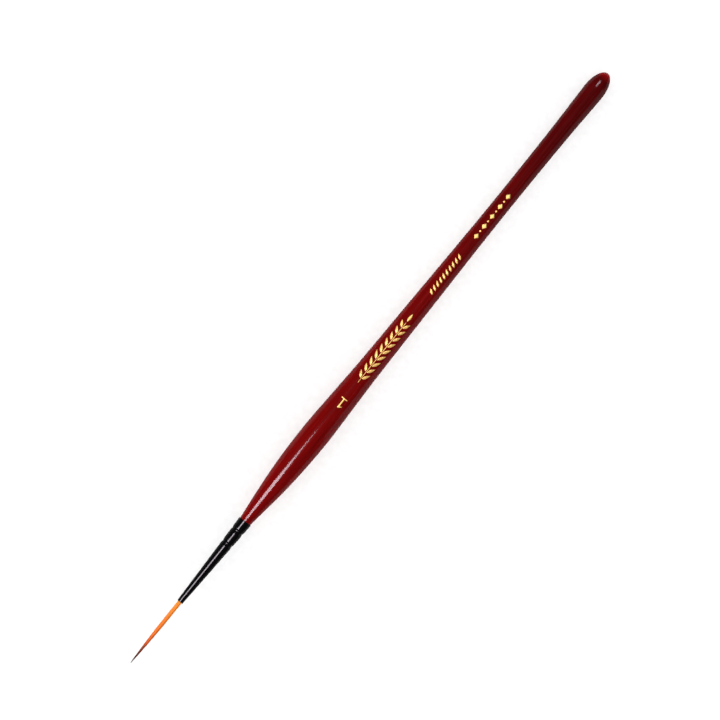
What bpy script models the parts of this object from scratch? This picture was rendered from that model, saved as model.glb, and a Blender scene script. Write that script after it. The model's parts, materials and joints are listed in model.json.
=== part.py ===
"""Fine detail brush: turned handle, crimped ferrule and a pointed tuft of filaments. Metres, +Z up.

The brush lies on the plane z = 0, on its belly and its tail, with its axis in the XZ plane and the hair towards -X.
Each piece is modelled along its own Z, from the tip of the hair (0) to the end of the handle.
"""

import math

import bmesh
import bpy
from mathutils import Vector
from mathutils.geometry import interpolate_bezier

# Tuft
HAIR_LENGTH = 0.0186        # free length, from the tip to the mouth of the ferrule
HAIR_RADIUS = 0.00052
HAIR_TAPER = 0.0120         # the stretch at the tip over which the tuft narrows
HAIR_TIP_SHARE = 0.55       # width of the strand pattern that is left at the tip
HAIR_END_SPREAD = 0.92      # share of the taper over which the strands end
HAIR_POINT_POWER = 3.0      # how strongly the middle strands outlast the outer ones
ROOT_FACE_DEPTH = 0.0008    # how far inside the mouth the strands become one bound root
STRAND_COUNT = 310
STRAND_RADIUS = 0.000019
STRAND_SEAT = 0.0003        # how deep a strand is sunk into the root
STRAND_TIP_SHARE = 0.28     # thickness that a strand keeps at its end

# Ferrule
FERRULE_LENGTH = 0.0246
FERRULE_WALL = 0.0002
FERRULE_REAR_RADIUS = 0.0017
MOUTH_CLEARANCE = 0.00003   # between the hair and the mouth
CRIMP_FROM_REAR = 0.00302   # middle of the rear groove
CRIMP_SPACING = 0.0038
CRIMP_WIDTH = 0.0012
CRIMP_DEPTH = 0.00014

# Binding thread, resin and glue
THREAD_RADIUS = 0.00008
BINDING_TURNS = 4
BINDING_PITCH = 0.00062
BINDING_TO_ROOT_END = 0.0008
RESIN_FROM_MOUTH = 0.0030
RESIN_WALL = 0.00006        # least resin outside the thread
RESIN_CAP = 0.0008          # resin behind the root
GLUE_THICKNESS = 0.00006
GLUE_FROM_REAR = 0.0004
FIT_GAP = 0.00003           # between pieces that are glued or potted together

# Handle
RIM_STEP = 0.0002           # how far the ferrule stands proud of the neck
NECK_SLOPE = 0.12
NECK_TO_BELLY = 0.02725
BELLY_RADIUS = 0.00345
BELLY_TO_SHAFT = 0.02475
SHAFT_RADIUS = 0.00270
SHAFT_SLOPE = -0.0125
SHAFT_TO_WAIST = 0.04525
WAIST_RADIUS = 0.00211
WAIST_TO_TAIL = 0.0344
TAIL_RADIUS = 0.00256
TAIL_TO_END = 0.00515
TENON_TIP_GAP = 0.0015      # air between the resin and the tenon
TENON_CHAMFER = 0.0003

# How far the handle's curve runs on in the direction of each station, as shares of the stretch
NECK_BELLY_EASE = (0.35, 0.44)
BELLY_SHAFT_EASE = (0.115, 0.385)
SHAFT_WAIST_EASE = (0.37, 0.24)
WAIST_TAIL_EASE = (0.76, 0.15)
TAIL_END_EASE = (0.47, 0.60)

# Facets
SIDES = 16
CRIMP_STEPS = 6
LIP_STEPS = 5
LOOP_POINTS = 24
THREAD_SECTION_STEPS = 1
STRAND_SIDES = 3
MERGE = 1e-7

# Stations along the axis
MOUTH = HAIR_LENGTH
REAR = MOUTH + FERRULE_LENGTH
BELLY = REAR + NECK_TO_BELLY
SHAFT = BELLY + BELLY_TO_SHAFT
WAIST = SHAFT + SHAFT_TO_WAIST
TAIL = WAIST + WAIST_TO_TAIL
END = TAIL + TAIL_TO_END
CRIMPS = (REAR - CRIMP_FROM_REAR - CRIMP_SPACING, REAR - CRIMP_FROM_REAR)

# The cone's bore is a sliding fit on the hair at the mouth, and its wall is even
MOUTH_BORE = HAIR_RADIUS + MOUTH_CLEARANCE
REAR_BORE = FERRULE_REAR_RADIUS - FERRULE_WALL
BORE_SLOPE = (REAR_BORE - MOUTH_BORE) / FERRULE_LENGTH

# The binding jams in the cone where the bore leaves room for it and for a skin of resin
BINDING_RADIUS = HAIR_RADIUS + FIT_GAP + THREAD_RADIUS
RECESS_RADIUS = BINDING_RADIUS + THREAD_RADIUS + FIT_GAP
BINDING_START = MOUTH + (RECESS_RADIUS + RESIN_WALL + FIT_GAP - MOUTH_BORE) / BORE_SLOPE + THREAD_RADIUS
BINDING_END = BINDING_START + BINDING_TURNS * BINDING_PITCH
ROOT_FACE = MOUTH + ROOT_FACE_DEPTH
ROOT_END = BINDING_END + THREAD_RADIUS + BINDING_TO_ROOT_END
RESIN_FRONT = MOUTH + RESIN_FROM_MOUTH
RESIN_END = ROOT_END + FIT_GAP + RESIN_CAP
TENON_TIP = RESIN_END + TENON_TIP_GAP
TENON_FIT = 2 * FIT_GAP + GLUE_THICKNESS

# Resting on the belly and the tail, each with a facet down
FACET_TURN = math.pi / SIDES
FACET_SHARE = math.cos(FACET_TURN)
REST_PITCH = math.atan2((BELLY_RADIUS - TAIL_RADIUS) * FACET_SHARE, TAIL - BELLY)
TIP_HEIGHT = BELLY * math.sin(REST_PITCH) + BELLY_RADIUS * FACET_SHARE * math.cos(REST_PITCH)
TIP_X = -END * math.cos(REST_PITCH) / 2


def clear_scene():
    for obj in list(bpy.data.objects):
        bpy.data.objects.remove(obj, do_unlink=True)


def collection(name):
    found = bpy.data.collections.new(name)
    bpy.context.scene.collection.children.link(found)
    return found


def finish(name, colour, roughness, metallic=0.0):
    material = bpy.data.materials.new(name)
    material.use_nodes = True
    shader = material.node_tree.nodes["Principled BSDF"]
    shader.inputs["Base Color"].default_value = (*colour, 1.0)
    shader.inputs["Roughness"].default_value = roughness
    shader.inputs["Metallic"].default_value = metallic
    return material


def empty(name, parent=None):
    obj = bpy.data.objects.new(name, None)
    obj.empty_display_size = HAIR_LENGTH / 4
    obj.parent = parent
    PARTS.objects.link(obj)
    return obj


def place(obj, material, parent):
    obj.data.materials.append(material)
    obj.parent = parent
    PARTS.objects.link(obj)
    return obj


def turned(name, outline, material, parent, loop=False):
    """A piece turned about the axis, from (along, radius) points that run from its back to its front."""
    mesh = bpy.data.meshes.new(name)
    edges = [(i, i + 1) for i in range(len(outline) - 1)]
    if loop:
        edges.append((len(outline) - 1, 0))
    mesh.from_pydata([(radius, 0, along) for along, radius in outline], edges, [])
    obj = place(bpy.data.objects.new(name, mesh), material, parent)
    obj.rotation_euler.z = FACET_TURN
    screw = obj.modifiers.new("Turn", "SCREW")
    screw.steps = screw.render_steps = SIDES
    screw.use_merge_vertices = True
    screw.merge_threshold = MERGE
    screw.use_smooth_shade = True
    return obj


def mesh_of(obj):
    """The evaluated mesh of a curve, with its caps welded on and its faces turned out."""
    graph = bpy.context.evaluated_depsgraph_get()
    mesh = bpy.data.meshes.new_from_object(obj.evaluated_get(graph))
    work = bmesh.new()
    work.from_mesh(mesh)
    bmesh.ops.remove_doubles(work, verts=work.verts, dist=MERGE)
    bmesh.ops.recalc_face_normals(work, faces=work.faces)
    work.to_mesh(mesh)
    work.free()
    return mesh


def stretch(first, first_slope, last, last_slope, ease, count):
    """A smooth stretch of outline after its first point, leaving and arriving at the given slopes."""
    run = last[0] - first[0]
    leave = Vector((1, first_slope)) * run * ease[0]
    arrive = Vector((1, last_slope)) * run * ease[1]
    first, last = Vector(first), Vector(last)
    return [tuple(p) for p in interpolate_bezier(first, first + leave, last - arrive, last, count)[1:]]


def crimp_dip(along):
    """How far the two rounded grooves press the wall in at a station."""
    dip = 0.0
    for middle in CRIMPS:
        away = (along - middle) / CRIMP_WIDTH
        if abs(away) < 0.5:
            dip += CRIMP_DEPTH * (1 + math.cos(math.tau * away)) / 2
    return dip


def bore(along):
    return MOUTH_BORE + (along - MOUTH) * BORE_SLOPE - crimp_dip(along)


def cone_stations(front, back):
    """Stations from front to back that a line along the crimped cone needs."""
    stations = [front]
    for middle in CRIMPS:
        for step in range(CRIMP_STEPS + 1):
            stations.append(middle + CRIMP_WIDTH * (step / CRIMP_STEPS - 0.5))
    stations.append(back)
    return stations


def handle_outline():
    """The visible turning, from the neck back to the end."""
    neck = (REAR + FIT_GAP, FERRULE_REAR_RADIUS - RIM_STEP)
    belly = (BELLY, BELLY_RADIUS)
    shaft = (SHAFT, SHAFT_RADIUS)
    waist = (WAIST, WAIST_RADIUS)
    tail = (TAIL, TAIL_RADIUS)
    points = [neck]
    points += stretch(neck, NECK_SLOPE, belly, 0.0, NECK_BELLY_EASE, 9)
    points += stretch(belly, 0.0, shaft, SHAFT_SLOPE, BELLY_SHAFT_EASE, 7)
    points += stretch(shaft, SHAFT_SLOPE, waist, 0.0, SHAFT_WAIST_EASE, 5)
    points += stretch(waist, 0.0, tail, 0.0, WAIST_TAIL_EASE, 8)
    nose = [
        Vector(tail),
        Vector((TAIL + TAIL_END_EASE[0] * TAIL_TO_END, TAIL_RADIUS)),
        Vector((END, TAIL_END_EASE[1] * TAIL_RADIUS)),
        Vector((END, 0.0)),
    ]
    return points + [tuple(p) for p in interpolate_bezier(*nose, 9)[1:]]


def make_handle(parent):
    tenon = []
    for along in cone_stations(TENON_TIP + TENON_CHAMFER, REAR + FIT_GAP):
        tenon.append((along, bore(along) - TENON_FIT))
    tip = (TENON_TIP, tenon[0][1] - TENON_CHAMFER)
    outline = [(TENON_TIP, 0.0), tip] + tenon + handle_outline()
    lacquer = finish("burgundy_lacquered_birch", (0.15, 0.004, 0.006), 0.12)
    return turned("handle", outline[::-1], lacquer, parent)


def make_ferrule(parent):
    lip = FERRULE_WALL / 2
    inside = [(along, bore(along)) for along in cone_stations(MOUTH + lip, REAR)]
    outside = [(along, radius + FERRULE_WALL) for along, radius in inside]
    rolled = []
    for step in range(1, LIP_STEPS):
        angle = math.pi * step / LIP_STEPS
        across = MOUTH_BORE + lip + lip * math.cos(angle)
        rolled.append((MOUTH + lip - lip * math.sin(angle), across))
    black = finish("black_anodised_aluminium", (0.006, 0.006, 0.0065), 0.22)
    return turned("ferrule", outside[::-1] + rolled + inside, black, parent, loop=True)


def make_resin_plug(parent):
    hole = HAIR_RADIUS + FIT_GAP
    recess_front = BINDING_START - THREAD_RADIUS - FIT_GAP
    recess_back = BINDING_END + THREAD_RADIUS + FIT_GAP
    outline = [
        (RESIN_END, 0.0),
        (RESIN_END, bore(RESIN_END) - FIT_GAP),
        (RESIN_FRONT, bore(RESIN_FRONT) - FIT_GAP),
        (RESIN_FRONT, hole),
        (recess_front, hole),
        (recess_front, RECESS_RADIUS),
        (recess_back, RECESS_RADIUS),
        (recess_back, hole),
        (ROOT_END + FIT_GAP, hole),
        (ROOT_END + FIT_GAP, 0.0),
    ]
    return turned("resin_plug", outline, finish("amber_epoxy", (0.45, 0.2, 0.04), 0.2), parent)


def make_handle_glue(parent):
    stations = cone_stations(TENON_TIP + TENON_CHAMFER, REAR - GLUE_FROM_REAR)
    outside = [(along, bore(along) - FIT_GAP) for along in stations]
    inside = [(along, radius - GLUE_THICKNESS) for along, radius in outside]
    glue = finish("cured_wood_glue", (0.62, 0.5, 0.28), 0.4)
    return turned("handle_glue", outside[::-1] + inside, glue, parent, loop=True)


def least_gap(points, far, thickness):
    """Least clear distance of a tube to itself, between points that are at least far apart along it."""
    least = min((a - b).length for i, a in enumerate(points) for b in points[i + far:])
    return least - thickness


def make_binding_thread(parent):
    """One unbroken thread, wound in an open spiral round the root of the tuft."""
    count = BINDING_TURNS * LOOP_POINTS
    points = []
    for i in range(count + 1):
        angle = math.tau * i / LOOP_POINTS
        along = BINDING_START + BINDING_PITCH * i / LOOP_POINTS
        points.append(Vector((BINDING_RADIUS * math.cos(angle), BINDING_RADIUS * math.sin(angle), along)))
    gap = least_gap(points, LOOP_POINTS // 2, 2 * THREAD_RADIUS)
    print(f"binding_thread: least gap to itself {1000 * gap:.3f} mm")
    path = bpy.data.curves.new("binding_thread", "CURVE")
    path.dimensions = "3D"
    path.bevel_depth = THREAD_RADIUS
    path.bevel_resolution = THREAD_SECTION_STEPS
    path.use_fill_caps = True
    spline = path.splines.new("POLY")
    spline.points.add(count)
    for target, point in zip(spline.points, points):
        target.co = (*point, 1.0)
    obj = bpy.data.objects.new("binding_thread", path)
    return place(obj, finish("waxed_thread", (0.75, 0.7, 0.6), 0.7), parent)


def strand_runs():
    """Foot, bend and end of each strand, as points and shares of the strand's thickness.

    The feet follow a sunflower pattern. Every strand runs straight to the start of the taper and then straight
    inwards with the whole pattern, so that no two cross, and the outer ones end first.
    """
    turn = math.pi * (3 - math.sqrt(5))
    reach = HAIR_RADIUS - STRAND_RADIUS
    for i in range(STRAND_COUNT):
        share = math.sqrt((i + 0.5) / STRAND_COUNT)
        across = Vector((math.cos(i * turn), math.sin(i * turn), 0.0)) * reach * share
        end = HAIR_TAPER * HAIR_END_SPREAD * share**HAIR_POINT_POWER
        drawn = HAIR_TIP_SHARE + (1 - HAIR_TIP_SHARE) * end / HAIR_TAPER
        yield (
            (across + Vector((0, 0, ROOT_FACE + STRAND_SEAT - MOUTH)), 1.0),
            (across + Vector((0, 0, HAIR_TAPER - MOUTH)), 1.0),
            (across * drawn + Vector((0, 0, end - MOUTH)), STRAND_TIP_SHARE),
        )


def make_strands():
    """All strands as one mesh of separate three-sided spikes, to be joined to the root."""
    section = bpy.data.curves.new("strand_section", "CURVE")
    corners = section.splines.new("POLY")
    corners.points.add(STRAND_SIDES - 1)
    corners.use_cyclic_u = True
    for i, corner in enumerate(corners.points):
        angle = math.tau * i / STRAND_SIDES
        corner.co = (STRAND_RADIUS * math.cos(angle), STRAND_RADIUS * math.sin(angle), 0, 1)
    section_obj = bpy.data.objects.new("strand_section", section)
    CUTTERS.objects.link(section_obj)
    paths = bpy.data.curves.new("strand_paths", "CURVE")
    paths.dimensions = "3D"
    paths.bevel_mode = "OBJECT"
    paths.bevel_object = section_obj
    paths.use_fill_caps = True
    for run in strand_runs():
        spline = paths.splines.new("POLY")
        spline.points.add(len(run) - 1)
        for target, (point, thickness) in zip(spline.points, run):
            target.co = (*point, 1.0)
            target.radius = thickness
    guide = bpy.data.objects.new("strand_paths", paths)
    CUTTERS.objects.link(guide)
    strands = bpy.data.objects.new("strands", mesh_of(guide))
    CUTTERS.objects.link(strands)
    bpy.data.objects.remove(guide)
    bpy.data.objects.remove(section_obj)
    return strands


def make_hair_tuft(hinge):
    """The bound root inside the ferrule and the free strands in front of it, as one bundle."""
    depth = ROOT_END - ROOT_FACE
    work = bmesh.new()
    bmesh.ops.create_cone(
        work, cap_ends=True, segments=SIDES, radius1=HAIR_RADIUS, radius2=HAIR_RADIUS, depth=depth
    )
    bmesh.ops.translate(work, verts=work.verts, vec=(0, 0, (ROOT_FACE + ROOT_END) / 2 - MOUTH))
    mesh = bpy.data.meshes.new("hair_tuft")
    work.to_mesh(mesh)
    work.free()
    hair = finish("orange_synthetic_filament", (0.88, 0.2, 0.025), 0.4)
    obj = place(bpy.data.objects.new("hair_tuft", mesh), hair, hinge)
    strands = make_strands()
    strands.parent = hinge
    strands.hide_render = True
    strands.display_type = "WIRE"
    union = obj.modifiers.new("Strands", "BOOLEAN")
    union.operation = "UNION"
    union.object = strands
    return obj


clear_scene()
PARTS = collection("fine_detail_brush")
CUTTERS = collection("cutters")
axis = empty("brush_axis")
axis.location = (TIP_X, 0, TIP_HEIGHT)
axis.rotation_euler.y = math.pi / 2 + REST_PITCH
tuft_hinge = empty("tuft_hinge", axis)
tuft_hinge.location.z = MOUTH
make_handle(axis)
make_ferrule(axis)
make_resin_plug(axis)
make_handle_glue(axis)
make_binding_thread(axis)
make_hair_tuft(tuft_hinge)
bpy.context.view_layer.update()
print("tuft_hinge at", [round(v, 6) for v in tuft_hinge.matrix_world.translation])
print("belly axis at", [round(v, 6) for v in axis.matrix_world @ Vector((0, 0, BELLY))])
print(f"axis pitch {math.degrees(REST_PITCH):.4f} degrees, length {1000 * END:.2f} mm")
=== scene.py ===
"""Dresses the fine detail brush: lacquered handle, black ferrule, filament tuft, foil marks and the studio.

Lengths are in metres. Pieces are modelled along the brush's own axis, which starts at the mouth of the
ferrule and runs back to the end of the handle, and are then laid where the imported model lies.
"""

import json
import math
import random

import bmesh
import bpy
from bpy.props import FloatProperty, FloatVectorProperty, IntProperty, PointerProperty
from mathutils import Matrix, Vector
from mathutils.geometry import interpolate_bezier

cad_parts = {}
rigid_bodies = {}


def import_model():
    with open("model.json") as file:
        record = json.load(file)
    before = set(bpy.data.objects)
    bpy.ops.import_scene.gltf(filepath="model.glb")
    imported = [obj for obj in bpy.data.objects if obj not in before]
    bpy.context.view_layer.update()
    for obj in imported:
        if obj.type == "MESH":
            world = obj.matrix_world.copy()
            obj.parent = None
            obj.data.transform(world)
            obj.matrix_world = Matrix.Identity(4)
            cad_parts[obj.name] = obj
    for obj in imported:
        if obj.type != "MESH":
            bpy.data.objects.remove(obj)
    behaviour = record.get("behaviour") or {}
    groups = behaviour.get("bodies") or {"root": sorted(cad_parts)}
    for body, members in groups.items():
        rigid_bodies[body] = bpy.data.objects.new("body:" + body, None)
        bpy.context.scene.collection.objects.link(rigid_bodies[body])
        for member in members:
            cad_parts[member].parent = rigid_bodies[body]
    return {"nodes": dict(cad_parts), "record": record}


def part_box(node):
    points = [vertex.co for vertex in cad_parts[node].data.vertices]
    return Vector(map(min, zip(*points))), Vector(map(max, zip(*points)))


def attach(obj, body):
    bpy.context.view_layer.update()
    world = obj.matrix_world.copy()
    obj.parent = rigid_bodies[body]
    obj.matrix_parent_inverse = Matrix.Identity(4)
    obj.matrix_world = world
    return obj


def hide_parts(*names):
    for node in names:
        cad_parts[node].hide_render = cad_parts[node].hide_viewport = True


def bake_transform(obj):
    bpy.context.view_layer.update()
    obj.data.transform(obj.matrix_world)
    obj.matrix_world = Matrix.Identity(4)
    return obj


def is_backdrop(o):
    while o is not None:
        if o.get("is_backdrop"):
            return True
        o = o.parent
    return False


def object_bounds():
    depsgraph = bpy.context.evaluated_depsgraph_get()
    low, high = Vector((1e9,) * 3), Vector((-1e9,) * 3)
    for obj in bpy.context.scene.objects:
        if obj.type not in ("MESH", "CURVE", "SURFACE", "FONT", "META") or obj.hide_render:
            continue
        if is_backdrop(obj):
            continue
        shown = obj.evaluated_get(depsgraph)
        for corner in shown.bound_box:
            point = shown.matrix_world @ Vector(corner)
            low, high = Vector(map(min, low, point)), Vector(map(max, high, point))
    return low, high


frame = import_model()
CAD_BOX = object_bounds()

bl_info = {
    "name": "Fine Detail Brush",
    "version": (1, 0, 0),
    "blender": (4, 5, 0),
    "location": "View3D > Sidebar > Brush",
    "description": "Builds the finish of a fine detail brush around its packed model",
    "category": "Object",
}

MM = 0.001
HINGE = frame["record"]["behaviour"]["joints"][0]
GRIP = frame["record"]["mounts"][0]
FIXED_BODY = HINGE["parent"]

# The axis runs from the hinge at the mouth through the middle of the grip
MOUTH = Vector(HINGE["pos_m"])
ALONG = (Vector(GRIP["pos_m"]) - MOUTH).normalized()
SIDEWAYS = Vector((0, 1, 0))
LIE = Matrix.Translation(MOUTH) @ Matrix((ALONG, SIDEWAYS, ALONG.cross(SIDEWAYS))).transposed().to_4x4()

# Facets of the turned pieces
TURNED_SIDES = 112
SHARP_EDGE = math.radians(35)
WELD = 1e-8

# Room between pieces that touch
FIT = 0.03 * MM

# Softboxes that only the gloss shows: name, place, width and height, and share of the key's radiance
SOFTBOXES = (
    ("key_softbox", (-0.35, 0.25, 1.0), (0.2, 0.56), 1.0),
    ("tail_softbox", (0.6, 0.25, 1.0), (0.4, 0.36), 0.5),
    ("tail_strip", (0.14, -0.7, 1.0), (0.1, 0.1), 0.02),
    ("side_screen", (0.29, -1.5, 0.3), (0.62, 0.6), 0.024),
)


def linear(code):
    """An sRGB hex colour as linear red, green, blue and alpha."""
    shares = [int(code[i:i + 2], 16) / 255 for i in (1, 3, 5)]
    return [v / 12.92 if v <= 0.04045 else ((v + 0.055) / 1.055) ** 2.4 for v in shares] + [1.0]


def length(name, description, millimetres):
    """A length that a user may change."""
    return FloatProperty(
        name=name, description=description, default=millimetres * MM, unit="LENGTH", precision=5
    )


def colour(name, description, code):
    """A colour that a user may change."""
    return FloatVectorProperty(
        name=name, description=description, default=linear(code), size=4, subtype="COLOR"
    )


class HandleSettings(bpy.types.PropertyGroup):
    """The turned handle and its lacquer"""

    rim_step: length("Rim step", "How far the ferrule stands proud of the neck", 0.2)
    to_belly: length("Neck to belly", "From the ferrule to the widest place", 27.25)
    belly: length("Belly radius", "Radius at the widest place", 3.45)
    to_shaft: length("Belly to shaft", "From the belly to the start of the slim shaft", 24.75)
    shaft: length("Shaft radius", "Radius where the slim shaft starts", 2.70)
    to_waist: length("Shaft to waist", "From the start of the shaft to its slimmest place", 45.25)
    waist: length("Waist radius", "Radius at the slimmest place", 2.11)
    to_tail: length("Waist to tail", "From the waist to the swell of the tail", 34.4)
    tail: length("Tail radius", "Radius of the swell at the tail", 2.56)
    to_end: length("Tail to end", "From the swell of the tail to the end", 5.15)
    tenon: length("Tenon length", "How deep the handle goes into the ferrule", 11.58)
    neck_red: colour("Neck red", "Lacquer next to the ferrule", "#740607")
    belly_red: colour("Belly red", "Lacquer at the belly", "#6C0606")
    shaft_red: colour("Shaft red", "Lacquer along the shaft", "#690606")
    # The tail red is darker and the end red brighter; both are tones set by station along the handle
    tail_red: colour("Tail red", "Thick lacquer at the tail", "#4C0506")
    end_red: colour("End red", "Thin lacquer at the very end", "#960A10")


class FerruleSettings(bpy.types.PropertyGroup):
    """The crimped tube between the hair and the handle"""

    length: length("Length", "From the mouth to the rear rim", 24.6)
    wall: length("Wall", "Thickness of the tube", 0.2)
    rear: length("Rear radius", "Outside radius at the rear rim", 1.7)
    crimp_from_rear: length("Crimp from rear", "From the rear rim to the middle of the first groove", 3.02)
    crimp_spacing: length("Crimp spacing", "Between the two grooves", 3.8)
    crimp_width: length("Crimp width", "Width of a groove", 1.2)
    crimp_depth: length("Crimp depth", "Depth of a groove", 0.14)
    fit: length("Tenon fit", "Room for glue between the tenon and the tube", 0.12)
    black: colour("Black", "Dyed film on the tube", "#0B0B0C")


class TuftSettings(bpy.types.PropertyGroup):
    """The hair"""

    length: length("Free length", "From the mouth to the tip", 18.6)
    radius: length("Radius", "Radius of the bundle at the mouth", 0.52)
    clearance: length("Clearance", "Between the hair and the mouth", 0.03)
    taper: length("Taper", "The stretch that narrows to the point", 12.0)
    root: length("Root", "Length of hair inside the ferrule", 10.62)
    filaments: IntProperty(
        name="Filaments", description="Number of filaments", default=460, min=300, max=600
    )
    filament: length("Filament radius", "Radius of one filament at its root", 0.0215)
    root_orange: colour("Root orange", "Filament at the mouth", "#F5912C")
    middle_orange: colour("Middle orange", "Filament half-way", "#F27A24")
    tip_brown: colour("Tip brown", "Dyed point", "#2E130C")


class FoilSettings(bpy.types.PropertyGroup):
    """The stamped foil on the handle"""

    size_from_rear: length("Size mark", "From the ferrule to the foot of the size mark", 37.5)
    sprig_from_rear: length("Sprig", "From the ferrule to the middle of the sprig", 52.6)
    leaves_from_rear: length("Leaves", "From the ferrule to the middle of the row of leaves", 75.4)
    lozenges_from_rear: length("Lozenges", "From the ferrule to the middle of the lozenges", 93.0)
    lift: length("Lift", "Height of the foil above the lacquer", 0.012)
    thickness: length("Thickness", "Thickness of the foil", 0.015)
    gold: colour("Gold", "Colour of the foil", "#E3BC6C")


class StageSettings(bpy.types.PropertyGroup):
    """Floor, light and camera"""

    floor: colour("Floor", "Paper that the brush lies on", "#F8F8F8")
    frame_width: length("Frame width", "Width of the picture at the brush", 170.85)
    distance: length("Camera distance", "Height of the camera above the brush", 950.0)
    roll: FloatProperty(
        name="Roll",
        description="Slope of the brush in the picture",
        default=math.radians(50.99),
        subtype="ANGLE",
    )
    key: FloatProperty(name="Key", description="Radiance of the main softbox", default=50.0, min=0.0)
    dome: FloatProperty(name="Dome", description="Strength of the even light all round", default=0.5, min=0.0)
    overhead: FloatProperty(name="Overhead", description="Strength of the fill above", default=1.1, min=0.0)
    side: FloatProperty(name="Side", description="Strength of the fill from one side", default=1.6, min=0.0)


# Shapes


def stretch(first, first_slope, last, last_slope, ease, count):
    """A smooth stretch of outline after its first point, which leaves and arrives at the given slopes.

    The two eases say over what share of the stretch each slope holds.
    """
    run = last[0] - first[0]
    leave = Vector((1, first_slope)) * run * ease[0]
    arrive = Vector((1, last_slope)) * run * ease[1]
    first, last = Vector(first), Vector(last)
    return [tuple(p) for p in interpolate_bezier(first, first + leave, last - arrive, last, count)[1:]]


def handle_outline(handle, ferrule):
    """(along, radius) points of the handle that shows, from the neck to the end."""
    level, neck_slope, shaft_slope = 0.0, 0.12, -0.0125
    nose_reach, nose_width = 0.47, 0.60
    neck = (ferrule.length + FIT, ferrule.rear - handle.rim_step)
    belly = (ferrule.length + handle.to_belly, handle.belly)
    shaft = (belly[0] + handle.to_shaft, handle.shaft)
    waist = (shaft[0] + handle.to_waist, handle.waist)
    tail = (waist[0] + handle.to_tail, handle.tail)
    end = tail[0] + handle.to_end
    points = [neck]
    points += stretch(neck, neck_slope, belly, level, ease=(0.35, 0.44), count=36)
    points += stretch(belly, level, shaft, shaft_slope, ease=(0.115, 0.385), count=30)
    points += stretch(shaft, shaft_slope, waist, level, ease=(0.37, 0.24), count=24)
    points += stretch(waist, level, tail, level, ease=(0.76, 0.15), count=30)
    nose = (
        (tail[0] + nose_reach * handle.to_end, handle.tail),
        (end, nose_width * handle.tail),
        (end, 0.0),
    )
    nose_points = 28
    points += [tuple(p) for p in interpolate_bezier(Vector(tail), *map(Vector, nose), nose_points)[1:]]
    return points


def radius_at(outline, along):
    """Radius of the handle at a station."""
    for (a, first), (b, last) in zip(outline, outline[1:]):
        if a <= along <= b:
            return first + (last - first) * (along - a) / (b - a)
    raise ValueError(f"{along} m is not on the handle")


def crimp_dip(ferrule, along):
    """How far the two rounded grooves press the wall in at a station."""
    dip = 0.0
    for from_rear in (ferrule.crimp_from_rear, ferrule.crimp_from_rear + ferrule.crimp_spacing):
        away = (along - ferrule.length + from_rear) / ferrule.crimp_width
        if abs(away) < 0.5:
            dip += ferrule.crimp_depth * (1 + math.cos(math.tau * away)) / 2
    return dip


def bore_at(ferrule, tuft, along):
    """Inside radius of the ferrule at a station."""
    mouth = tuft.radius + tuft.clearance
    slope = (ferrule.rear - ferrule.wall - mouth) / ferrule.length
    return mouth + slope * along - crimp_dip(ferrule, along)


def steps(first, last, count):
    """Evenly spaced values from the first to the last."""
    return [first + (last - first) * i / count for i in range(count + 1)]


def shown(name, work, material):
    """The finished object of a mesh that was modelled along the brush's own axis."""
    mesh = bpy.data.meshes.new(name)
    work.to_mesh(mesh)
    work.free()
    mesh.transform(LIE)
    mesh.shade_smooth()
    mesh.set_sharp_from_angle(angle=SHARP_EDGE)
    mesh.materials.append(material)
    obj = bpy.data.objects.new(name, mesh)
    bpy.context.scene.collection.objects.link(obj)
    return obj


def turned(name, outline, material, loop=False):
    """A piece turned about the axis from (along, radius) points."""
    work = bmesh.new()
    ring = [work.verts.new((along, 0, radius)) for along, radius in outline]
    pairs = list(zip(ring, ring[1:])) + [(ring[-1], ring[0])] * loop
    edges = [work.edges.new(pair) for pair in pairs]
    bmesh.ops.spin(
        work,
        geom=ring + edges,
        cent=(0, 0, 0),
        axis=(1, 0, 0),
        angle=math.tau,
        steps=TURNED_SIDES,
        use_merge=True,
    )
    bmesh.ops.remove_doubles(work, verts=work.verts, dist=WELD)
    bmesh.ops.recalc_face_normals(work, faces=work.faces)
    return shown(name, work, material)


def tube(work, path, radii, sides, strand):
    """Adds a closed tube to a mesh. Its UVs hold the share of its length and a number of its own."""
    uv = work.loops.layers.uv.verify()
    rings = []
    for i, (centre, radius) in enumerate(zip(path, radii)):
        ahead = (path[min(i + 1, len(path) - 1)] - path[max(i - 1, 0)]).normalized()
        # Each ring carries on the last one's direction, so that the tube doesn't twist
        across = across - ahead * across.dot(ahead) if rings else ahead.orthogonal()
        across.normalize()
        up = ahead.cross(across)
        ring = []
        for k in range(sides):
            angle = math.tau * k / sides
            ring.append(work.verts.new(centre + (across * math.cos(angle) + up * math.sin(angle)) * radius))
        rings.append(ring)
    share = {vert: i / (len(rings) - 1) for i, ring in enumerate(rings) for vert in ring}
    faces = [work.faces.new(rings[0][::-1]), work.faces.new(rings[-1])]
    for near, far in zip(rings, rings[1:]):
        for k in range(sides):
            after = (k + 1) % sides
            faces.append(work.faces.new((near[k], near[after], far[after], far[k])))
    for face in faces:
        for loop in face.loops:
            loop[uv].uv = (share[loop.vert], strand)


# Materials


def plug(node, **sockets):
    """Gives each named socket of a node a value, or a link from another node."""
    for name, value in sockets.items():
        socket = node.inputs[name.replace("_", " ")]
        if isinstance(value, bpy.types.NodeSocket):
            node.id_data.links.new(value, socket)
        else:
            socket.default_value = value


def add(tree, kind, settings=None, stops=(), **sockets):
    """Adds a node with its settings, its sockets and any (place, colour) stops."""
    node = tree.nodes.new(kind)
    for name, value in (settings or {}).items():
        setattr(node, name, value)
    plug(node, **sockets)
    if stops:
        elements = node.color_ramp.elements
        while len(elements) < len(stops):
            elements.new(1.0)
        for element, (at, shade) in zip(elements, stops):
            element.position = at
            element.color = shade
    return node


def surface(name, **constants):
    """A new material with its shader's constant sockets set. Returns it, its node tree and the shader."""
    material = bpy.data.materials.new(name)
    material.use_nodes = True
    shader = material.node_tree.nodes["Principled BSDF"]
    plug(shader, **constants)
    return material, material.node_tree, shader


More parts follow.
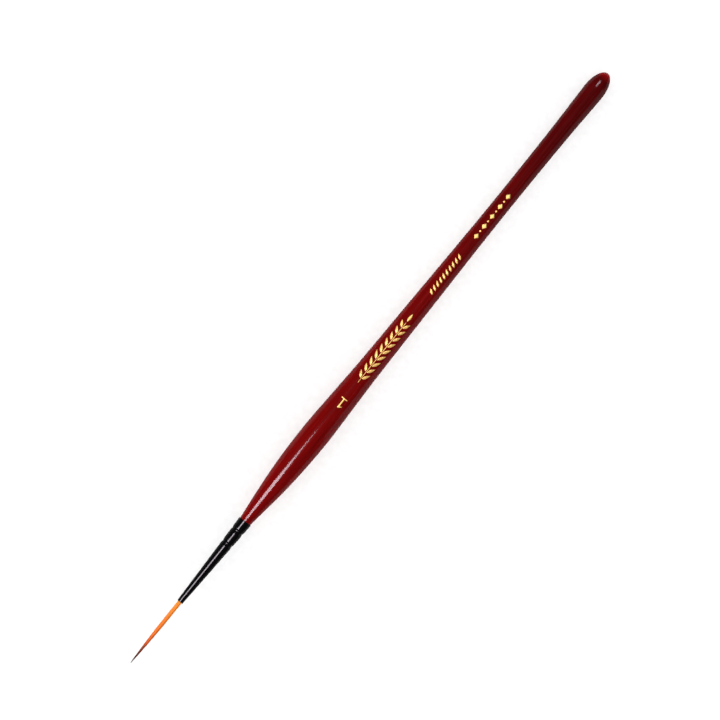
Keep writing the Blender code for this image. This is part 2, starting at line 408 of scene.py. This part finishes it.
def lacquered_birch(handle, first, last):
    """Turned birch, stained and dip-coated in a burgundy lacquer.

    Fine streaks of grain show through the film, whose red is darker towards the tail and brighter at the very
    end.
    The surface is as smooth as glass, with a faint ripple along the grain.
    """
    # Real pores are about 0.07 mm wide, too fine to show, so the streaks are drawn five times as wide
    grain_width, grain_length = 0.35 * MM, 9 * MM
    ripple_width, ripple_length, ripple_height = 3 * MM, 24 * MM, 0.02 * MM
    material, tree, shader = surface(
        "birch_burgundy_dip_lacquer",
        Roughness=0.6,
        Specular_IOR_Level=0.0,
        Coat_Weight=0.22,
        Coat_Roughness=0.13,
        Coat_IOR=1.5,
    )
    place = add(tree, "ShaderNodeTexCoord").outputs["Object"]
    across = 1 / grain_width
    along_grain = add(tree, "ShaderNodeMapping", Vector=place, Scale=(1 / grain_length, across, across))
    streaks = add(
        tree,
        "ShaderNodeTexNoise",
        Vector=along_grain.outputs["Vector"],
        Scale=1.0,
        Detail=5.0,
        Roughness=0.62,
    )
    station = add(tree, "ShaderNodeSeparateXYZ", Vector=place).outputs["X"]
    share = add(tree, "ShaderNodeMapRange", Value=station, From_Min=first, From_Max=last)
    # The red darkens towards the tail and turns brighter at the very end
    film_stops = (
        (0.0, handle.neck_red),
        (0.2, handle.belly_red),
        (0.5, handle.shaft_red),
        (0.85, handle.tail_red),
        (0.985, handle.tail_red),
        (1.0, handle.end_red),
    )
    film = add(tree, "ShaderNodeValToRGB", stops=film_stops, Fac=share.outputs["Result"])
    grain = add(
        tree,
        "ShaderNodeMapRange",
        Value=streaks.outputs["Fac"],
        From_Min=0.3,
        From_Max=0.7,
        To_Min=0.72,
        To_Max=1.22,
    )
    stained = add(
        tree,
        "ShaderNodeVectorMath",
        {"operation": "SCALE"},
        Vector=film.outputs["Color"],
        Scale=grain.outputs["Result"],
    )
    across = 1 / ripple_width
    swell = add(tree, "ShaderNodeMapping", Vector=place, Scale=(1 / ripple_length, across, across))
    waves = add(tree, "ShaderNodeTexNoise", Vector=swell.outputs["Vector"], Scale=1.0, Detail=0.0)
    bump = add(tree, "ShaderNodeBump", Strength=0.02, Distance=ripple_height, Height=waves.outputs["Fac"])
    plug(shader, Base_Color=stained.outputs["Vector"], Coat_Normal=bump.outputs["Normal"])
    return material


def anodised_aluminium(ferrule):
    """Drawn aluminium tube, anodised and dyed black, with a sealed gloss.

    The film is nearly black with a clean narrow highlight, and faint lines from the drawing die run along it.
    """
    # Real lines are about 0.01 mm apart, too fine to show, so they are drawn six times as wide
    line_width, line_length, line_depth = 0.06 * MM, 6 * MM, 0.004 * MM
    material, tree, shader = surface(
        "aluminium_black_anodised_drawn",
        Roughness=0.5,
        Specular_IOR_Level=0.0,
        Coat_Weight=0.24,
        Coat_Roughness=0.1,
        Coat_IOR=1.5,
    )
    place = add(tree, "ShaderNodeTexCoord").outputs["Object"]
    across = 1 / line_width
    drawn = add(tree, "ShaderNodeMapping", Vector=place, Scale=(1 / line_length, across, across))
    lines = add(tree, "ShaderNodeTexNoise", Vector=drawn.outputs["Vector"], Scale=1.0, Detail=4.0)
    dye_stops = ((0.3, linear("#070708")), (0.7, ferrule.black))
    dye = add(tree, "ShaderNodeValToRGB", stops=dye_stops, Fac=lines.outputs["Fac"])
    bump = add(tree, "ShaderNodeBump", Strength=0.03, Distance=line_depth, Height=lines.outputs["Fac"])
    plug(shader, Base_Color=dye.outputs["Color"], Coat_Normal=bump.outputs["Normal"])
    return material


def dyed_filament(tuft):
    """Extruded polyester filament, ground to a point and dyed dark at the tip.

    Each filament is a slightly different orange, soft and hardly glossy, and turns dark brown at its point.
    """
    material, tree, shader = surface(
        "polyester_filament_tip_dyed", Roughness=0.45, Specular_IOR_Level=0.05, IOR=1.57
    )
    uv = add(tree, "ShaderNodeSeparateXYZ", Vector=add(tree, "ShaderNodeTexCoord").outputs["UV"])
    station = add(tree, "ShaderNodeAttribute", {"attribute_name": "from_tip"}).outputs["Fac"]
    dye_stops = (
        (0.0, tuft.tip_brown),
        (0.17, linear("#6E2E1C")),
        (0.26, linear("#9A3E18")),
        (0.34, linear("#D65A18")),
        (0.5, tuft.middle_orange),
        (1.0, tuft.root_orange),
    )
    dye = add(tree, "ShaderNodeValToRGB", stops=dye_stops, Fac=station)
    own = add(tree, "ShaderNodeTexWhiteNoise", {"noise_dimensions": "1D"}, W=uv.outputs["Y"])
    tone = add(tree, "ShaderNodeMapRange", Value=own.outputs["Value"], To_Min=0.66, To_Max=1.24)
    shade = add(
        tree,
        "ShaderNodeVectorMath",
        {"operation": "SCALE"},
        Vector=dye.outputs["Color"],
        Scale=tone.outputs["Result"],
    )
    plug(shader, Base_Color=shade.outputs["Vector"])
    return material


def stamped_foil(foil):
    """Hot-stamped metal foil: pale gold, satin, with a grain of fine pits where it missed the lacquer."""
    # Real pits are about 0.03 mm wide, too fine to show, so they are drawn four times as wide
    pit = 0.12 * MM
    material, tree, shader = surface("foil_gold_hot_stamped", Metallic=0.35, Specular_IOR_Level=0.2)
    place = add(tree, "ShaderNodeTexCoord").outputs["Object"]
    pits = add(tree, "ShaderNodeTexNoise", Vector=place, Scale=1 / pit, Detail=3.0)
    gold_stops = ((0.3, linear("#B98A3C")), (0.5, foil.gold))
    gold = add(tree, "ShaderNodeValToRGB", stops=gold_stops, Fac=pits.outputs["Fac"])
    satin = add(tree, "ShaderNodeMapRange", Value=pits.outputs["Fac"], To_Min=0.38, To_Max=0.55)
    plug(shader, Base_Color=gold.outputs["Color"], Roughness=satin.outputs["Result"])
    return material


def mottled(name, light, dark, grain, roughness, **constants):
    """A cast or spun material that only varies softly in tone, with spots of the given size, darker where the
    relief is low.
    """
    material, tree, shader = surface(name, Roughness=roughness, **constants)
    place = add(tree, "ShaderNodeTexCoord").outputs["Object"]
    spots = add(tree, "ShaderNodeTexNoise", Vector=place, Scale=1 / grain, Detail=3.0)
    tone = add(tree, "ShaderNodeValToRGB", stops=((0.35, dark), (0.65, light)), Fac=spots.outputs["Fac"])
    relief = grain / 20
    bump = add(tree, "ShaderNodeBump", Strength=0.15, Distance=relief, Height=spots.outputs["Fac"])
    plug(shader, Base_Color=tone.outputs["Color"], Normal=bump.outputs["Normal"])
    return material


# Operators


class BRUSH_OT_handle(bpy.types.Operator):
    """Turn the handle and lacquer it"""

    bl_idname = "brush.handle"
    bl_label = "Handle"

    def execute(self, context):
        scene = context.scene
        handle, ferrule, tuft = scene.brush_handle, scene.brush_ferrule, scene.brush_tuft
        chamfer, tenon_rings = 0.3 * MM, 60
        tip = ferrule.length - handle.tenon
        tenon = []
        for along in steps(tip + chamfer, ferrule.length, tenon_rings):
            tenon.append((along, bore_at(ferrule, tuft, along) - ferrule.fit))
        shown_part = handle_outline(handle, ferrule)
        tenon.append((shown_part[0][0], tenon[-1][1]))
        outline = [(tip, 0.0), (tip, tenon[0][1] - chamfer)] + tenon + shown_part
        _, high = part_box("handle")
        lacquer = lacquered_birch(handle, MOUTH.x + ferrule.length, high[0])
        obj = turned("lacquered_handle", outline, lacquer)
        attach(obj, FIXED_BODY)
        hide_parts("handle")
        return {"FINISHED"}


class BRUSH_OT_ferrule(bpy.types.Operator):
    """Draw the ferrule, roll its lip and crimp it"""

    bl_idname = "brush.ferrule"
    bl_label = "Ferrule"

    def execute(self, context):
        ferrule, tuft = context.scene.brush_ferrule, context.scene.brush_tuft
        lip, edge = ferrule.wall / 2, 0.06 * MM
        wall_rings, rim_rings, lip_rings = 110, 5, 16
        inside = [(a, bore_at(ferrule, tuft, a)) for a in steps(lip, ferrule.length - edge, wall_rings)]
        outside = [(along, radius + ferrule.wall) for along, radius in inside]
        rim = []
        for angle in steps(0.0, math.pi / 2, rim_rings):
            along = ferrule.length - edge + edge * math.sin(angle)
            rim.append((along, ferrule.rear - edge + edge * math.cos(angle)))
        rolled = []
        for angle in steps(0.0, math.pi, lip_rings)[1:-1]:
            rolled.append((lip - lip * math.sin(angle), inside[0][1] + lip + lip * math.cos(angle)))
        back = (ferrule.length, ferrule.rear - ferrule.wall)
        outline = rolled + inside + [back] + rim[::-1] + outside[::-1]
        obj = turned("crimped_ferrule", outline, anodised_aluminium(ferrule), loop=True)
        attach(obj, FIXED_BODY)
        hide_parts("ferrule")
        return {"FINISHED"}


class BRUSH_OT_tuft(bpy.types.Operator):
    """Gather the filaments into a pointed tuft"""

    bl_idname = "brush.tuft"
    bl_label = "Tuft"

    def execute(self, context):
        tuft = context.scene.brush_tuft
        draw = random.Random(7)
        golden = math.pi * (3 - math.sqrt(5))
        sides, bend_reach = 5, 1.35
        work = bmesh.new()
        for i in range(tuft.filaments):
            share = math.sqrt((i + 0.5) / tuft.filaments)
            turn = i * golden
            path, radii = self.filament(tuft, share, turn, draw)
            tube(work, path, radii, sides, (i + 0.5) / tuft.filaments)
        self.bound_root(work, tuft)
        obj = shown("hair_filaments", work, dyed_filament(tuft))
        self.round_off(obj.data)
        tip = MOUTH - ALONG * tuft.length
        from_tip = obj.data.attributes.new("from_tip", "FLOAT", "POINT")
        shares = [(vert.co - tip).dot(ALONG) / tuft.length for vert in obj.data.vertices]
        from_tip.data.foreach_set("value", shares)
        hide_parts("hair_tuft")
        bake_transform(obj)
        return {"FINISHED"}

    def round_off(self, mesh):
        """Leans the filaments' normals towards the bundle's own, so that it is shaded as one round body."""
        lean = 0.85
        normals = []
        for vert in mesh.vertices:
            arm = vert.co - MOUTH
            outward = (arm - ALONG * arm.dot(ALONG)).normalized()
            normals.append(vert.normal.lerp(outward, lean).normalized())
        mesh.normals_split_custom_set_from_vertices(normals)

    def filament(self, tuft, share, turn, draw):
        """Path and thickness of one filament, which ends where it would leave the pointed outline."""
        halvings, stations, crowding = 30, 15, 1.35
        point_power, nearest = 0.52, 0.82
        mouth_fill, thinning, point_share = 0.8, 0.7, 0.45
        low, high = 0.0, 1.0
        for _ in range(halvings):
            middle = (low + high) / 2
            too_near = middle**point_power / self.gathered(middle) < share
            low, high = (middle, high) if too_near else (low, middle)
        # Some filaments reach up to a fifth nearer to the tip, so that the point isn't cut clean
        end = low * tuft.taper * draw.uniform(nearest, 1.0)
        root = 1.2 * MM
        outer = tuft.radius + mouth_fill * tuft.clearance
        path, radii = [], []
        for at in steps(0.0, 1.0, stations):
            from_tip = end + (tuft.length + root - end) * (1 - at) ** crowding
            width = share * (outer - tuft.filament) * self.gathered(min(from_tip / tuft.taper, 1.0))
            path.append(Vector((from_tip - tuft.length, width * math.cos(turn), width * math.sin(turn))))
            from_end = min((from_tip - end) / (thinning * tuft.taper), 1.0)
            radii.append(tuft.filament * (point_share + (1 - point_share) * from_end))
        return path, radii

    def gathered(self, from_tip):
        """Width of the filaments' pattern at a share of the taper."""
        at_tip = 0.5
        return at_tip + (1 - at_tip) * from_tip * (2 - from_tip)

    def bound_root(self, work, tuft):
        """The root inside the ferrule, soaked with resin to one solid."""
        first, last = 1.0 * MM, tuft.root
        rings, sides, strand = 4, 48, 0.5
        path = [Vector((along, 0, 0)) for along in steps(first, last, rings)]
        tube(work, path, [tuft.radius] * len(path), sides, strand)


class BRUSH_OT_binding(bpy.types.Operator):
    """Wind the thread round the root, and finish the resin and the glue"""

    bl_idname = "brush.binding"
    bl_label = "Binding"

    def execute(self, context):
        tuft = context.scene.brush_tuft
        low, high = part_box("binding_thread")
        thread, turns = 0.08 * MM, 4
        winding = tuft.radius + FIT + thread
        first = low[0] - MOUTH.x + thread
        last = high[0] - MOUTH.x - thread
        ply, twists = thread / 2, 60
        # A ply is a little slimmer than its half of the thread, so that the two don't merge
        slim, ply_sides, rings_per_turn = 0.96, 8, 64
        work = bmesh.new()
        for side in (0.0, math.pi):
            path = []
            for at in steps(0.0, 1.0, rings_per_turn * turns):
                angle, twist = math.tau * turns * at, math.tau * twists * at + side
                radius = winding + ply * math.cos(twist)
                along = first + (last - first) * at + ply * math.sin(twist)
                path.append(Vector((along, -radius * math.sin(angle), -radius * math.cos(angle))))
            tube(work, path, [ply * slim] * len(path), ply_sides, side)
        # Spun cotton under wax: cream, with a soft bloom over its fibres, and painted shade in the dips
        # between them
        cream, shadow = linear("#DACFB4"), linear("#B7A888")
        waxed = mottled("cotton_two_ply_waxed", cream, shadow, 0.05 * MM, 0.65, Sheen_Weight=0.3)
        obj = shown("twisted_binding", work, waxed)
        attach(obj, FIXED_BODY)
        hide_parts("binding_thread")
        # Cast epoxy: glossy amber, with cloudy patches where it soaked into the hair
        amber, deep_amber = linear("#C98A2E"), linear("#A96718")
        epoxy = mottled("epoxy_amber_cast", amber, deep_amber, 0.6 * MM, 0.18, IOR=1.55)
        # Wood glue that was squeezed and cured: a dull yellow film, slightly uneven
        yellow, dull_yellow = linear("#D8C48E"), linear("#BFA66A")
        glue = mottled("wood_glue_cured_film", yellow, dull_yellow, 0.3 * MM, 0.42, IOR=1.48)
        for name, material in (("resin_plug", epoxy), ("handle_glue", glue)):
            for slot in frame["nodes"][name].material_slots:
                slot.material = material
        return {"FINISHED"}


class BRUSH_OT_foil(bpy.types.Operator):
    """Stamp the size and the ornament on the handle"""

    bl_idname = "brush.foil"
    bl_label = "Foil"

    def execute(self, context):
        scene = context.scene
        foil, rear = scene.brush_foil, scene.brush_ferrule.length
        outline = handle_outline(scene.brush_handle, scene.brush_ferrule)
        gold = stamped_foil(foil)
        marks = (
            ("size_mark", [self.numeral()], rear + foil.size_from_rear),
            ("laurel_sprig", self.sprig(), rear + foil.sprig_from_rear),
            ("row_of_leaves", self.leaves(), rear + foil.leaves_from_rear),
            ("row_of_lozenges", self.lozenges(), rear + foil.lozenges_from_rear),
        )
        for name, shapes, station in marks:
            obj = self.stamp(name, shapes, station, outline, foil, gold)
            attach(obj, FIXED_BODY)
        return {"FINISHED"}

    def numeral(self):
        """A plain serifed 1, upright towards the hair, as (along, across) points in millimetres."""
        foot, half, serif, height = 0.82, 0.19, 0.24, 2.75
        flag, flag_drop, flag_thick, flag_start = 0.74, 0.5, 0.3, 0.05
        drawn = [
            (-foot, 0),
            (foot, 0),
            (foot, serif),
            (half, serif),
            (half, height),
            (-flag_start, height),
            (-flag, height - flag_drop),
            (-flag, height - flag_drop - flag_thick),
            (-half, height - flag_drop),
            (-half, serif),
            (-foot, serif),
        ]
        return [(-up, side) for side, up in drawn]

    def leaf(self, along, across, angle, size, width):
        """A pointed leaf that starts at a place and lies at an angle to the axis."""
        fullness, points = 0.8, 9
        one_side = [(size * at, width / 2 * math.sin(math.pi * at**fullness)) for at in steps(0, 1, points)]
        other_side = [(a, -b) for a, b in one_side[-2:0:-1]]
        c, s = math.cos(angle), math.sin(angle)
        return [(along + a * c - b * s, across + a * s + b * c) for a, b in one_side + other_side]

    def sprig(self):
        """A stem with pairs of leaves and a bud."""
        slant, gap, leaf_width = math.radians(33), 0.2, 0.66
        longest, longest_pair, shrink = 2.35, 3, 0.07
        stem_half, stem_swell, swell_reach = 0.05, 0.03, 6
        stem = []
        for along in steps(-10.2, 8.0, 24):
            stem.append((along, stem_half + stem_swell * math.cos(along / swell_reach)))
        bud = self.leaf(8.3, 0, 0, 2.3, 0.7)
        shapes = [stem + [(along, -across) for along, across in stem[::-1]], bud]
        for i, along in enumerate(steps(-9.0, 6.4, 8)):
            size = longest - shrink * abs(i - longest_pair)
            for side in (-1, 1):
                shapes.append(self.leaf(along, side * gap, side * slant, size, leaf_width))
        return shapes

    def leaves(self):
        """A row of single slanted leaves."""
        slant, size, width, foot = math.radians(56), 1.7, 0.56, -0.7
        return [self.leaf(along, foot, slant, size, width) for along in steps(-5.8, 4.8, 9)]

    def lozenges(self):
        """Lozenges with a round dot between them."""
        long, wide, dot = 0.8, 0.62, 0.24
        turns = steps(0, math.tau, 16)[:-1]
        shapes = []
        for along in steps(-6.0, 6.0, 4):
            shapes.append([(along + long, 0), (along, wide), (along - long, 0), (along, -wide)])
        for along in steps(-4.5, 4.5, 3):
            shapes.append([(along + dot * math.cos(turn), dot * math.sin(turn)) for turn in turns])
        return shapes

    def stamp(self, name, shapes, station, outline, foil, gold):
        """Cuts flat shapes, drawn in millimetres, into small facets and bends them round the handle's top."""
        half_width, facet, fewest = 1.6 * MM, 0.2 * MM, 8
        work = bmesh.new()
        for shape in shapes:
            corners = [work.verts.new((station + along * MM, across * MM, 0)) for along, across in shape]
            work.faces.new(corners)
        work.normal_update()
        bmesh.ops.triangulate(work, faces=work.faces)
        reach = max(abs(along) for shape in shapes for along, _ in shape) * MM
        for normal, limit in (((1, 0, 0), reach), ((0, 1, 0), half_width)):
            for away in steps(-limit, limit, max(fewest, round(limit / facet))):
                where = Vector((station, 0, 0)) + Vector(normal) * away
                everything = work.verts[:] + work.edges[:] + work.faces[:]
                bmesh.ops.bisect_plane(work, geom=everything, dist=WELD, plane_co=where, plane_no=normal)
        for vert in work.verts:
            along, across = vert.co.x, vert.co.y
            radius = radius_at(outline, along) + foil.lift
            vert.co = (along, radius * math.sin(across / radius), radius * math.cos(across / radius))
        bmesh.ops.recalc_face_normals(work, faces=work.faces)
        if sum(face.normal.z for face in work.faces) < 0:
            bmesh.ops.reverse_faces(work, faces=work.faces)
        obj = shown(name, work, gold)
        solid = obj.modifiers.new("Foil", "SOLIDIFY")
        solid.thickness = foil.thickness
        solid.offset = 1.0
        return obj


class BRUSH_OT_stage(bpy.types.Operator):
    """Lay the floor, hang the lights and set the camera"""

    bl_idname = "brush.stage"
    bl_label = "Stage"

    def execute(self, context):
        stage = context.scene.brush_stage
        self.floor(stage)
        self.light(context.scene, stage)
        self.camera(context.scene, stage)
        context.scene.view_settings.view_transform = "Standard"
        return {"FINISHED"}

    def floor(self, stage):
        """A wide sheet of matt paper with a soft tooth."""
        # Pressed paper: matt white, with painted shade in the dips of its tooth. Its tooth is drawn about ten
        # times as coarse as real, or it wouldn't show
        tooth, half_side, cells = 1.5 * MM, 2.0, 8
        painted_hollow_shade = linear("#F3F3F3")
        paper = mottled("paper_matt_white", stage.floor, painted_hollow_shade, tooth, 0.75, Specular_IOR_Level=0.0)
        work = bmesh.new()
        bmesh.ops.create_grid(work, x_segments=cells, y_segments=cells, size=half_side)
        mesh = bpy.data.meshes.new("floor")
        work.to_mesh(mesh)
        work.free()
        mesh.materials.append(paper)
        obj = bpy.data.objects.new("floor", mesh)
        obj.location.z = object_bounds()[0][2]
        bpy.context.scene.collection.objects.link(obj)
        obj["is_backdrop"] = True

    def light(self, scene, stage):
        """Even fills that the gloss doesn't mirror, and softboxes above that only the gloss shows."""
        world = bpy.data.worlds.new("dome")
        world.use_nodes = True
        sky = world.node_tree.nodes["Background"]
        sky.inputs["Strength"].default_value = stage.dome
        sky.inputs["Color"].default_value = (1, 1, 1, 1)
        scene.world = world
        world.cycles_visibility.glossy = False
        fills = (
            ("overhead_fill", (0, 0, 1), stage.overhead),
            ("side_fill", (-0.15, 0.77, 0.64), stage.side),
        )
        for name, towards, strength in fills:
            lamp = bpy.data.lights.new(name, "SUN")
            lamp.energy = strength
            lamp.use_shadow = False
            obj = self.hang(scene, lamp, Vector(towards))
            obj.visible_glossy = False
        # Strips that get shorter draw the key out to a point, so that its mirror image narrows to the rear
        key_end, key_height, strip_width, sharpness = -0.25, 0.56, 0.0278, 1.5
        boxes = list(SOFTBOXES)
        for along in steps(-0.236, -0.014, 8):
            height = key_height * (along / key_end) ** sharpness
            boxes.append(("key_point", (along, 0.25, 1.0), (strip_width, height), 1.0))
        tint = (1.0, 0.9, 1.0)
        for name, where, size, share in boxes:
            lamp = bpy.data.lights.new(name, "AREA")
            lamp.shape = "RECTANGLE"
            lamp.size, lamp.size_y = size
            lamp.energy = math.pi * size[0] * size[1] * stage.key * share
            lamp.color = tint
            obj = self.hang(scene, lamp, Vector(where))
            obj.visible_diffuse = False

    def hang(self, scene, lamp, where):
        """Hangs a lamp so that it points at the brush, with one side along it."""
        away = where.normalized()
        beside = (Vector((1, 0, 0)) - away * away.x).normalized()
        turn = Matrix((beside, away.cross(beside), away)).transposed()
        obj = bpy.data.objects.new(lamp.name, lamp)
        obj.matrix_world = Matrix.Translation(where) @ turn.to_4x4()
        scene.collection.objects.link(obj)
        return obj

    def camera(self, scene, stage):
        """Looks straight down on the brush, rolled so that it rises to the upper right."""
        lens = bpy.data.cameras.new("camera")
        lens.sensor_width = 36.0
        lens.lens = lens.sensor_width * stage.distance / stage.frame_width
        obj = bpy.data.objects.new("camera", lens)
        right = Vector((math.cos(stage.roll), -math.sin(stage.roll), 0))
        up = Vector((math.sin(stage.roll), math.cos(stage.roll), 0))
        low, high = CAD_BOX
        middle = (Vector(low) + Vector(high)) / 2
        # The brush stands a few pixels off the middle of the picture
        picture_width, to_left, upwards = 720, 9.4, 8.0
        pixel = stage.frame_width / picture_width
        above = Vector((0, 0, stage.distance))
        obj.location = middle - right * to_left * pixel + up * upwards * pixel + above
        obj.rotation_euler.z = -stage.roll
        lens.clip_start, lens.clip_end = 0.01, 20.0
        scene.collection.objects.link(obj)
        scene.camera = obj


class BRUSH_PT_panel(bpy.types.Panel):
    """Lists the steps that dress the brush"""

    bl_idname = "BRUSH_PT_panel"
    bl_label = "Fine Detail Brush"
    bl_space_type = "VIEW_3D"
    bl_region_type = "UI"
    bl_category = "Brush"

    def draw(self, context):
        for step in STEPS:
            self.layout.operator(step.bl_idname)


STEPS = (
    BRUSH_OT_handle,
    BRUSH_OT_ferrule,
    BRUSH_OT_tuft,
    BRUSH_OT_binding,
    BRUSH_OT_foil,
    BRUSH_OT_stage,
)
GROUPS = {
    "brush_handle": HandleSettings,
    "brush_ferrule": FerruleSettings,
    "brush_tuft": TuftSettings,
    "brush_foil": FoilSettings,
    "brush_stage": StageSettings,
}


def register():
    for group in GROUPS.values():
        bpy.utils.register_class(group)
    for name, group in GROUPS.items():
        setattr(bpy.types.Scene, name, PointerProperty(type=group))
    for kind in (*STEPS, BRUSH_PT_panel):
        bpy.utils.register_class(kind)


def unregister():
    for kind in (BRUSH_PT_panel, *reversed(STEPS)):
        bpy.utils.unregister_class(kind)
    for name, group in GROUPS.items():
        delattr(bpy.types.Scene, name)
        bpy.utils.unregister_class(group)


def main():
    register()
    bpy.ops.brush.handle()
    bpy.ops.brush.ferrule()
    bpy.ops.brush.tuft()
    bpy.ops.brush.binding()
    bpy.ops.brush.foil()
    bpy.ops.brush.stage()


if __name__ == "__main__":
    main()
